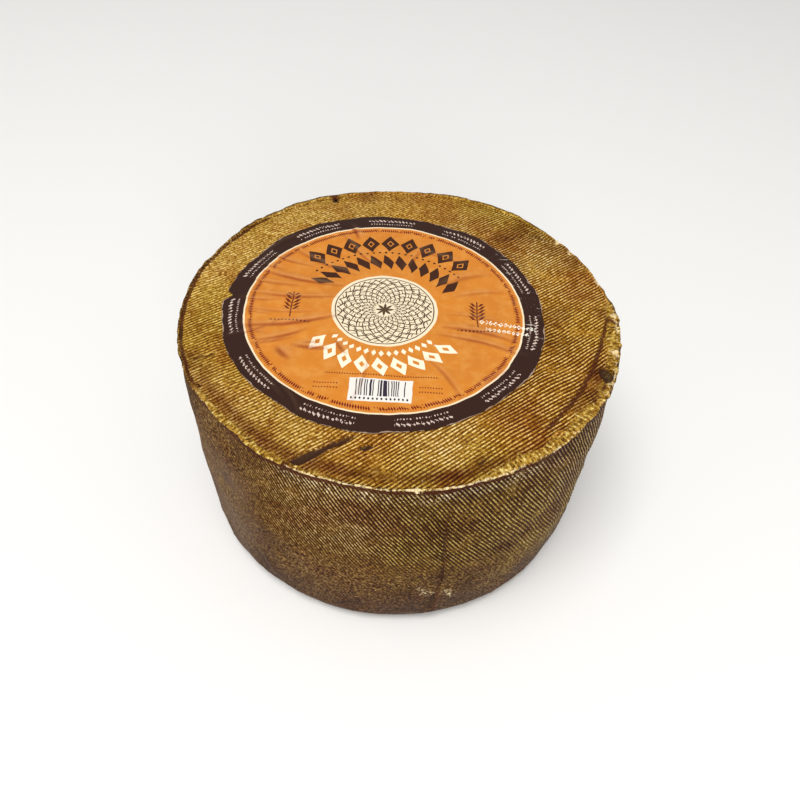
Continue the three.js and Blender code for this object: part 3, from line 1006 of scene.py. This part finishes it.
# Broad patches drift between olive and red brown, and stains are redder still, as is the painted shade
# that the stain mask also carries.
patch_mix = add_node(
    tree, "MapRange", {"Value": patchy, "From Min": 0.42, "From Max": 0.68, "To Max": 0.6},
    interpolation_type="SMOOTHSTEP")
olive_mix = add_node(
    tree, "MapRange", {"Value": broad_patchy, "From Min": 0.42, "From Max": 0.6, "To Max": 0.7},
    interpolation_type="SMOOTHSTEP")
olive_most = add_node(tree, "Math", {0: olive_mix, 1: masks["olive"]}, operation="MAXIMUM")
stain_and_shade_rough = add_node(tree, "Math", {0: patchy, 1: 0.9, 2: 0.35}, operation="MULTIPLY_ADD")
stain_and_shade_mix = add_node(
    tree, "Math", {0: masks["stain_and_shade"], 1: stain_and_shade_rough}, operation="MULTIPLY", use_clamp=True)
# What lies deep is dark with old oil.
deep = add_node(
    tree, "MapRange", {"Value": masks["relief"], "From Min": -0.5, "From Max": -1.1, "To Max": 0.92},
    interpolation_type="SMOOTHSTEP")
# The torn lip is streaked along the rim and broken into crumbs.
rim_map = add_node(tree, "UVMap", uv_map="round_rim")
streak_place = add_node(tree, "VectorMath", {0: rim_map, 1: (0.85, 0.32, 1)}, operation="MULTIPLY")
streaked = add_node(
    tree, "TexNoise", {"Vector": streak_place, "Scale": 1, "Detail": 3, "Roughness": 0.7})
clumped = add_node(tree, "Math", {0: flecked, 1: 0.55, 2: streaked}, operation="MULTIPLY_ADD")
streaks = add_node(tree, "MapRange", {"Value": clumped, "From Min": 0.64, "From Max": 0.93})
golden_colour = add_node(tree, "ValToRGB", {"Fac": streaks})
# The torn band has no sharp edge: it gives way to the ridges in tatters.
tatters = add_node(tree, "Math", {0: smudged, 1: 1.6, 2: -0.8}, operation="MULTIPLY_ADD")
golden_rough = add_node(tree, "Math", {0: masks["golden"], 1: tatters}, operation="ADD")
seam_and_shade_push = add_node(tree, "Math", {0: flecked, 1: 1.6, 2: -0.8}, operation="MULTIPLY_ADD")
seam_and_shade_rough = add_node(tree, "Math", {0: masks["seam_and_lip_shade"], 1: seam_and_shade_push}, operation="ADD")
seam_and_shade_mix = add_node(
    tree, "MapRange", {"Value": seam_and_shade_rough, "From Min": 0.25, "From Max": 0.65, "To Max": 0.9},
    interpolation_type="SMOOTHSTEP")
dust_rough = add_node(tree, "Math", {0: patchy, 1: 1.2, 2: 0.1}, operation="MULTIPLY_ADD")
dust_mix = add_node(tree, "Math", {0: masks["dust"], 1: dust_rough}, operation="MULTIPLY")
golden_mix = add_node(
    tree, "MapRange", {"Value": golden_rough, "From Min": 0.25, "From Max": 0.6, "To Max": 0.85},
    interpolation_type="SMOOTHSTEP")
curd_push = add_node(tree, "Math", {0: flecked, 1: 2.0, 2: -1.0}, operation="MULTIPLY_ADD")
curd_rough = add_node(tree, "Math", {0: masks["curd"], 1: curd_push}, operation="ADD")
curd_mix = add_node(
    tree, "MapRange", {"Value": curd_rough, "From Min": 0.3, "From Max": 0.75, "To Max": 0.9},
    interpolation_type="SMOOTHSTEP")
# Painted glints: fine bright flecks on the crests, in clumps, where the glint mask lies.
glints = add_node(
    tree, "MapRange", {"Value": fine, "From Min": 0.48, "From Max": 0.55},
    interpolation_type="SMOOTHSTEP")
clumps = add_node(
    tree, "MapRange", {"Value": smudged, "From Min": 0.42, "From Max": 0.56, "To Min": 0.3},
    interpolation_type="SMOOTHSTEP")
glint_flecks = add_node(tree, "Math", {0: glints, 1: printed_light}, operation="MULTIPLY")
glint_flecks = add_node(tree, "Math", {0: glint_flecks, 1: clumps}, operation="MULTIPLY")
painted_glint_mix = add_node(tree, "Math", {0: masks["painted_glint"], 1: glint_flecks}, operation="MULTIPLY")

# The brightest stops paint highlights on the crests, and the side's ramps are darker than the top's in
# part as painted shade.
ramps = {
    top_colour: ((0.0, "#562802"), (0.35, "#8f5d11"), (0.7, "#c6973a"), (1.0, "#f5cf7e")),
    side_colour: ((0.0, "#301500"), (0.35, "#5d3b0f"), (0.7, "#8b6a30"), (1.0, "#c9aa72")),
    pale_top_colour: ((0.0, "#62350f"), (0.35, "#9c7127"), (0.7, "#d4ae54"), (1.0, "#fae3a0")),
    pale_side_colour: ((0.0, "#3a1e06"), (0.35, "#70501f"), (0.7, "#a88748"), (1.0, "#e8ce94")),
    golden_colour: ((0.0, "#432606"), (0.4, "#966b1c"), (0.75, "#cfa643"), (1.0, "#f4e294")),
}
for ramp_node, stops in ramps.items():
    ramp = ramp_node.color_ramp
    while len(ramp.elements) < len(stops):
        ramp.elements.new(0.5)
    for element, (position, hex_colour) in zip(ramp.elements, stops):
        element.position = position
        element.color = to_linear(hex_colour)
layers = [
    (pale_mix, "MIX", pale_base),
    (patch_mix, "MULTIPLY", "#c99a70"),
    (olive_most, "MULTIPLY", "#e9eaa0"),
    # The stain layer also lays painted shade.
    (stain_and_shade_mix, "MULTIPLY", "#8a5236"),
    (golden_mix, "MIX", golden_colour),
    (dust_mix, "MIX", "#8d7763"),
    # The seam layer also lays the painted shade under the lip.
    (seam_and_shade_mix, "MIX", "#4c200c"),
    (deep, "MIX", "#3f281a"),
    (curd_mix, "MIX", "#f2dcaa"),
    # The last layer lays the painted glints.
    (painted_glint_mix, "MIX", "#f2dfb6"),
]
rind_colour = base
for factor, blend, colour in layers:
    if isinstance(colour, str):
        colour = to_linear(colour)
    rind_colour = add_node(
        tree, "Mix", {"Factor": factor, "A": rind_colour, "B": colour}, data_type="RGBA",
        blend_type=blend)

# %% The rind's surface
# Each float stands about 0.15 mm above the gaps, and the grain of the curd is finer still.
bump_height = add_node(tree, "Math", {0: fine, 1: 0.45, 2: printed}, operation="MULTIPLY_ADD")
torn_height = add_node(
    tree, "Math", {0: streaks, 1: golden_mix, 2: bump_height}, operation="MULTIPLY_ADD")
crisp = add_node(tree, "Math", {0: masks["worn"], 1: -0.55, 2: 1.0}, operation="MULTIPLY_ADD")
bump = add_node(
    tree, "Bump", {"Height": torn_height, "Strength": crisp, "Distance": 0.22 * MM})
roughness = add_node(tree, "MapRange", {
    "Value": tone_fine, "From Min": 0.2, "From Max": 1.0, "To Min": 0.8, "To Max": 0.42})
rind_shader = add_node(tree, "BsdfPrincipled", {
    "Base Color": rind_colour, "Roughness": roughness, "Normal": bump, "IOR": 1.46,
    "Specular IOR Level": 0.13})
add_node(tree, "OutputMaterial", {"Surface": rind_shader})
wheel.data.materials.clear()
wheel.data.materials.append(rind)
print("rind nodes:", len(tree.nodes))

# %% [markdown]
# ## The label's print
#
# The label is offset-printed paper, later soaked with oil from the rind. Its ornament is made
# of plain shapes, each a mask that is 1 inside the shape and 0 outside: rings by the distance
# from the middle, and rows of lozenges by folding the angle round the middle into equal steps.
# A picture could be laid on it instead, but shapes drawn by nodes stay sharp at any size. The
# inks are then laid over the paper one mask after another, as a press would.

# %% Where a point lies on the print
paper_print, tree = new_material("printed_label_paper")
print_map_place = add_node(tree, "UVMap", uv_map="print")
print_place = add_node(tree, "VectorMath", {0: print_map_place, "Scale": 100}, operation="SCALE")
# The damp paper stretched a little as it was glued, so no printed line is quite true.
stretch = add_node(
    tree, "TexNoise", {"Vector": print_map_place, "Scale": 9, "Detail": 2, "Roughness": 0.5})
stretch_size = add_node(
    tree, "VectorMath", {0: stretch.outputs["Color"], 1: (1.6, 1.6, 0), 2: (-0.8, -0.8, 0)},
    operation="MULTIPLY_ADD")
print_place = add_node(tree, "VectorMath", {0: print_place, 1: stretch_size}, operation="ADD")
print_parts = add_node(tree, "SeparateXYZ", {0: print_place})
print_x, print_y = print_parts.outputs["X"], print_parts.outputs["Y"]
flat_place = add_node(tree, "CombineXYZ", {0: print_x, 1: print_y})
print_radius = add_node(tree, "VectorMath", {0: flat_place}, operation="LENGTH").outputs["Value"]
from_top = add_node(tree, "Math", {0: print_x, 1: print_y}, operation="ARCTAN2")
from_bottom_y = add_node(tree, "Math", {0: print_y, 1: -1.0}, operation="MULTIPLY")
from_bottom = add_node(tree, "Math", {0: print_x, 1: from_bottom_y}, operation="ARCTAN2")
mirrored_x = add_node(tree, "Math", {0: print_x}, operation="ABSOLUTE")


# %% Helpers for printed shapes
def inside(value, low, high, shape=1.0):
    """The part of a shape where a value lies between two numbers, or the whole such band."""
    kept = add_node(
        tree, "Math", {0: value, 1: (low + high) / 2, 2: (high - low) / 2}, operation="COMPARE")
    return add_node(tree, "Math", {0: shape, 1: kept}, operation="MULTIPLY")


def joined(*shapes):
    """All the places that lie in at least one of the shapes."""
    total = shapes[0]
    for shape in shapes[1:]:
        total = add_node(tree, "Math", {0: total, 1: shape}, operation="MAXIMUM")
    return total


def broken_up(shape, scale, detail, bare_below):
    """A shape with gaps where the ink didn't take, which is where a noise is under a value."""
    noise = add_node(tree, "TexNoise", {"Vector": flat_place, "Scale": scale, "Detail": detail})
    inked = add_node(tree, "Math", {0: noise, 1: bare_below}, operation="GREATER_THAN")
    return add_node(tree, "Math", {0: shape, 1: inked}, operation="MULTIPLY")


def lozenges(along, across, pitch, half_length, middle, half_height, hole=0.0, lean=0.0):
    """A row of lozenges: equal steps of pitch along, centred on a middle value across."""
    off_middle = add_node(tree, "Math", {0: across, 1: middle}, operation="SUBTRACT")
    leaning = add_node(tree, "Math", {0: off_middle, 1: lean, 2: along}, operation="MULTIPLY_ADD")
    folded = add_node(tree, "Math", {0: leaning, 1: pitch / 2}, operation="PINGPONG")
    height = add_node(tree, "Math", {0: off_middle}, operation="ABSOLUTE")
    height_share = add_node(tree, "Math", {0: height, 1: 1 / half_height}, operation="MULTIPLY")
    total = add_node(
        tree, "Math", {0: folded, 1: 1 / half_length, 2: height_share}, operation="MULTIPLY_ADD")
    return inside(total, hole, 1.0)


def arched_row(turn, middle, count, reach_degrees, half_length, half_height, hole=0.0, lean=0.0):
    """Lozenges on an arc of this radius, reaching so far to each side of where turn is zero."""
    reach = math.radians(reach_degrees)
    pitch = 2 * reach * middle / count
    first = pitch / 2 * (count + 1)
    along = add_node(tree, "Math", {0: turn, 1: middle, 2: first}, operation="MULTIPLY_ADD")
    row = lozenges(along, print_radius, pitch, half_length, middle, half_height, hole, lean)
    return inside(turn, -reach, reach, row)


# %% The band, its line and its chains
band_inner, band_outer = 61.0, 72.0
band = add_node(tree, "Math", {0: print_radius, 1: band_inner}, operation="GREATER_THAN")
band_line = inside(print_radius, 60.3, 61.1)
group_reach = math.pi / 11
group_turn = add_node(tree, "Math", {0: from_top, 1: group_reach}, operation="PINGPONG")
chain_along = add_node(tree, "Math", {0: from_top, 1: 67.0}, operation="MULTIPLY")
outer_chain = lozenges(chain_along, print_radius, 1.9, 0.75, 66.9, 1.2, lean=0.5)
inner_chain = lozenges(chain_along, print_radius, 1.3, 0.4, 63.9, 0.6)
chains = inside(group_turn, 0.0, 0.6 * group_reach, joined(outer_chain, inner_chain))
chains = broken_up(chains, 0.8, 2, bare_below=0.46)
tick_along = add_node(tree, "Math", {0: from_top, 1: 58.0}, operation="MULTIPLY")
ticks = lozenges(tick_along, print_radius, 1.05, 0.47, 58.1, 1.4, lean=0.2)
tick_ring = broken_up(ticks, 0.35, 1, bare_below=0.4)

# %% The medallion with its rosette of crossing waves
medallion = add_node(tree, "Math", {0: print_radius, 1: 23.2}, operation="LESS_THAN")
rosette = inside(print_radius, 21.3, 21.8)
waves = [
    # petals, swing, spacing and half the line's width
    (12, 1.7, 4.1, 0.34), (12, -1.7, 4.1, 0.34), (24, 0.8, 2.9, 0.24),
]
for petals, swing, spacing, half_line in waves:
    wave = add_node(tree, "Math", {0: from_top, 1: petals}, operation="MULTIPLY")
    swung = add_node(tree, "Math", {0: wave}, operation="SINE")
    wavy_radius = add_node(
        tree, "Math", {0: swung, 1: swing, 2: print_radius}, operation="MULTIPLY_ADD")
    ring_place = add_node(tree, "Math", {0: wavy_radius, 1: spacing / 2}, operation="PINGPONG")
    line = add_node(tree, "Math", {0: ring_place, 1: half_line}, operation="LESS_THAN")
    rosette = joined(rosette, inside(print_radius, 4.2, 20.8, line))
petal_turn = add_node(tree, "Math", {0: from_top, 1: math.pi / 8}, operation="PINGPONG")
petal_size = add_node(tree, "Math", {0: petal_turn, 1: -7.0, 2: 4.2}, operation="MULTIPLY_ADD")
flower = add_node(tree, "Math", {0: print_radius, 1: petal_size}, operation="LESS_THAN")
rosette = joined(rosette, flower)

# %% The rows of ornament round the medallion
dark_rows = joined(
    arched_row(from_top, 47.6, 9, 50, 4.4, 6.2, hole=0.4),
    arched_row(from_top, 47.6, 9, 50, 1.1, 1.6),
    arched_row(from_top, 33.6, 13, 64, 2.7, 5.4, lean=0.35),
    arched_row(from_top, 40.6, 26, 55, 0.8, 0.7))
pale_rows = joined(
    arched_row(from_bottom, 35.0, 9, 56, 3.4, 5.2, hole=0.36, lean=-0.3),
    arched_row(from_bottom, 27.4, 15, 50, 1.1, 1.8))

# %% The two ears of grain
ear_across = add_node(tree, "Math", {0: mirrored_x, 1: 40.5}, operation="SUBTRACT")
ear_side = add_node(tree, "Math", {0: ear_across}, operation="ABSOLUTE")
grains = inside(print_y, -3.5, 7.5, lozenges(print_y, ear_side, 2.3, 0.95, 1.9, 1.8, lean=-0.9))
stem = inside(ear_side, 0.0, 0.28, inside(print_y, -8.0, 8.5))
dashes = inside(mirrored_x, 32.0, 49.0, lozenges(mirrored_x, print_y, 1.6, 0.6, -10.6, 0.6))
ears = joined(grains, stem, dashes)

# %% The white patch with its bars, and the small dotted rows
patch = inside(print_x, -11.6, 13.6, inside(print_y, -54.2, -42.0))
bar_width = 0.42
bar_place = add_node(tree, "Math", {0: print_x, 1: bar_width}, operation="DIVIDE")
bar_number = add_node(tree, "Math", {0: bar_place}, operation="FLOOR")
bar_draw = add_node(tree, "TexWhiteNoise", {"W": bar_number}, noise_dimensions="1D")
bars = add_node(tree, "Math", {0: bar_draw.outputs["Value"], 1: 0.52}, operation="GREATER_THAN")
bars = inside(print_x, -10.0, 12.2, inside(print_y, -51.3, -42.6, bars))
bar_feet = inside(print_x, -10.5, 12.6, lozenges(print_x, print_y, 1.7, 0.5, -52.7, 0.8))
small_rows = inside(print_x, -22.0, 24.0, lozenges(print_x, print_y, 1.05, 0.42, -39.9, 0.5))
for row_y in (-45.5, -48.0):
    side_dashes = lozenges(mirrored_x, print_y, 1.1, 0.42, row_y, 0.5)
    small_rows = joined(small_rows, inside(mirrored_x, 16.0, 26.0, side_dashes))

# %% The pale rows stamped across the right edge
stamp_place = add_node(
    tree, "VectorRotate", {"Vector": flat_place, "Center": (54, -8, 0), "Angle": math.radians(8)},
    rotation_type="Z_AXIS")
stamp_parts = add_node(tree, "SeparateXYZ", {0: stamp_place})
stamp_x, stamp_y = stamp_parts.outputs["X"], stamp_parts.outputs["Y"]
stamp_rows = []
for row_y, row_start, row_end in ((-6.2, 41.0, 66.0), (-10.4, 44.0, 63.0)):
    row = lozenges(stamp_x, stamp_y, 2.0, 1.0, row_y, 1.5, hole=0.3)
    stamp_rows.append(inside(stamp_x, row_start, row_end, row))
stamp = broken_up(joined(*stamp_rows), 1.1, 1, bare_below=0.47)

# %% Wear: scratches on the right of the band
scratch_stretch = add_node(
    tree, "VectorMath", {0: flat_place, 1: (0.06, 0.8, 1)}, operation="MULTIPLY")
scratches = add_node(
    tree, "TexNoise", {"Vector": scratch_stretch, "Scale": 1.0, "Detail": 3, "Roughness": 0.7})
specks = add_node(
    tree, "TexNoise", {"Vector": flat_place, "Scale": 1.3, "Detail": 2, "Roughness": 0.7})
scratched = joined(inside(scratches, 0.655, 0.9), inside(specks, 0.715, 1.0))
scratched = inside(from_top, math.radians(45), math.radians(112), scratched)
scratched = inside(print_radius, band_inner, band_outer, scratched)

# %% Laying the inks
folds = add_node(tree, "Attribute", attribute_name="fold").outputs["Fac"]
creases = add_node(tree, "Attribute", attribute_name="crease_oil_and_shadow").outputs["Fac"]
faded = add_node(
    tree, "TexNoise", {"Vector": flat_place, "Scale": 0.035, "Detail": 3, "Roughness": 0.6})
faded_mix = add_node(tree, "MapRange", {
    "Value": faded, "From Min": 0.35, "From Max": 0.7, "To Max": 0.7})
gilded = add_node(
    tree, "TexNoise", {"Vector": flat_place, "Scale": 0.16, "Detail": 4, "Roughness": 0.65})
gilded_mix = add_node(tree, "MapRange", {
    "Value": gilded, "From Min": 0.45, "From Max": 0.65, "To Max": 0.6})
# The cut edge of the paper shows pale where the ink has rubbed off.
rubbed = add_node(
    tree, "TexNoise", {"Vector": flat_place, "Scale": 0.25, "Detail": 3, "Roughness": 0.6})
rubbed_edge = add_node(tree, "Math", {0: rubbed, 1: 2.2, 2: print_radius}, operation="MULTIPLY_ADD")
rubbed_edge = add_node(tree, "Math", {0: rubbed_edge, 1: 71.75}, operation="GREATER_THAN")
layers = [
    (faded_mix, "#c7782a"),
    (gilded_mix, "#df9845"),
    (tick_ring, "#7c220f"),
    (dark_rows, "#41200f"),
    (ears, "#6b2a14"),
    (small_rows, "#8a3c1a"),
    (pale_rows, "#fdf0d4"),
    (patch, "#efeae0"),
    (joined(bars, bar_feet), "#332a38"),
    (medallion, "#f4e3c2"),
    (rosette, "#54412c"),
    (band, "#331b12"),
    (chains, "#d6c0b1"),
    (rubbed_edge, "#a58d7c"),
    (band_line, "#f8e2bd"),
    (stamp, "#fbf3e0"),
    (scratched, "#c9c0b6"),
]
print_colour = to_linear("#d8842a")
for mask, ink in layers:
    print_colour = add_node(
        tree, "Mix", {"Factor": mask, "A": print_colour, "B": to_linear(ink)}, data_type="RGBA")
# Each fold's top is painted a little paler as a highlight, and one flank darker, both as painted shadow
# and as oil soaked into the crease.
fold_strength = add_node(tree, "Math", {0: band, 1: -0.12, 2: 0.16}, operation="MULTIPLY_ADD")
fold_light = add_node(tree, "Math", {0: folds, 1: fold_strength}, operation="MULTIPLY")
print_colour = add_node(
    tree, "Mix", {"Factor": fold_light, "A": print_colour, "B": to_linear("#f3c08c")},
    data_type="RGBA")
crease_oil_and_shadow_dark = add_node(tree, "Math", {0: creases, 1: 0.8}, operation="MULTIPLY")
print_colour = add_node(
    tree, "Mix", {"Factor": crease_oil_and_shadow_dark, "A": print_colour, "B": to_linear("#a35a2a")},
    data_type="RGBA", blend_type="MULTIPLY")
paper_grain = add_node(
    tree, "TexNoise", {"Vector": flat_place, "Scale": 1.6, "Detail": 3, "Roughness": 0.6})
paper_bump = add_node(
    tree, "Bump", {"Height": paper_grain, "Strength": 0.25, "Distance": 0.08 * MM})
print_shader = add_node(tree, "BsdfPrincipled", {
    "Base Color": print_colour, "Roughness": 0.45, "Specular IOR Level": 0.18, "Normal": paper_bump})
add_node(tree, "OutputMaterial", {"Surface": print_shader})
label.data.materials.append(paper_print)
print("print nodes:", len(tree.nodes))

# %% [markdown]
# ## Camera, floor and light
#
# The camera is a pinhole fitted to the rim, the label's circles and the lower outline. It
# looks down by 47.8 degrees and is rolled by 3.3 degrees. A sun would throw a hard shadow, so
# a large softbox above, a small one in front and an even white surround light the cheese.

# %% The camera
rim_level = top_height + 0.8
camera_pitch = math.radians(47.78)
camera_roll = math.radians(3.34)
camera_place = Vector((2.0, -248.4, rim_level + 215.8)) * MM
focal_length_pixels = 749.8
picture_pixels = 800
camera_data = bpy.data.cameras.new("camera")
camera_data.sensor_width = 36
camera_data.lens = focal_length_pixels / picture_pixels * camera_data.sensor_width
camera_data.clip_start = 0.01
camera_data.clip_end = 50
camera = bpy.data.objects.new("camera", camera_data)
bpy.context.scene.collection.objects.link(camera)
turn = Matrix.Rotation(math.pi / 2 - camera_pitch, 4, "X") @ Matrix.Rotation(camera_roll, 4, "Z")
camera.matrix_world = Matrix.Translation(camera_place) @ turn
bpy.context.scene.camera = camera

# %% The floor
start_piece()
bpy.ops.mesh.primitive_plane_add(size=6, location=(0, 0, 0))
floor = bpy.context.object
floor.name = "floor"
floor_paper, tree = new_material("matt_white_paper_floor")
floor_shader = add_node(
    tree, "BsdfPrincipled", {"Base Color": to_linear("#f6f5f2"), "Roughness": 0.8})
add_node(tree, "OutputMaterial", {"Surface": floor_shader})
floor.data.materials.append(floor_paper)

# %% The lights
def softbox(name, place, aim, size, power):
    """A square area light at a place, facing a point, both in mm."""
    light_data = bpy.data.lights.new(name, "AREA")
    light_data.size = size * MM
    light_data.energy = power
    light = bpy.data.objects.new(name, light_data)
    bpy.context.scene.collection.objects.link(light)
    light.location = Vector(place) * MM
    light.rotation_euler = (Vector(aim) - Vector(place)).to_track_quat("-Z", "Y").to_euler()


softbox("key_softbox", (-300, -500, 1900), (0, 0, 60), 1000, 24)
softbox("front_softbox", (150, -1000, 500), (0, 0, 60), 400, 4)
world = bpy.data.worlds.new("studio")
bpy.context.scene.world = world
world.use_nodes = True
world.node_tree.nodes["Background"].inputs["Color"].default_value = (1, 1, 1, 1)
world.node_tree.nodes["Background"].inputs["Strength"].default_value = 0.45
bpy.context.scene.view_settings.view_transform = "Standard"

# %% Handing over
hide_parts("cheese_wheel")
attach(wheel, "root")
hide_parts("label")
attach(label, "root")
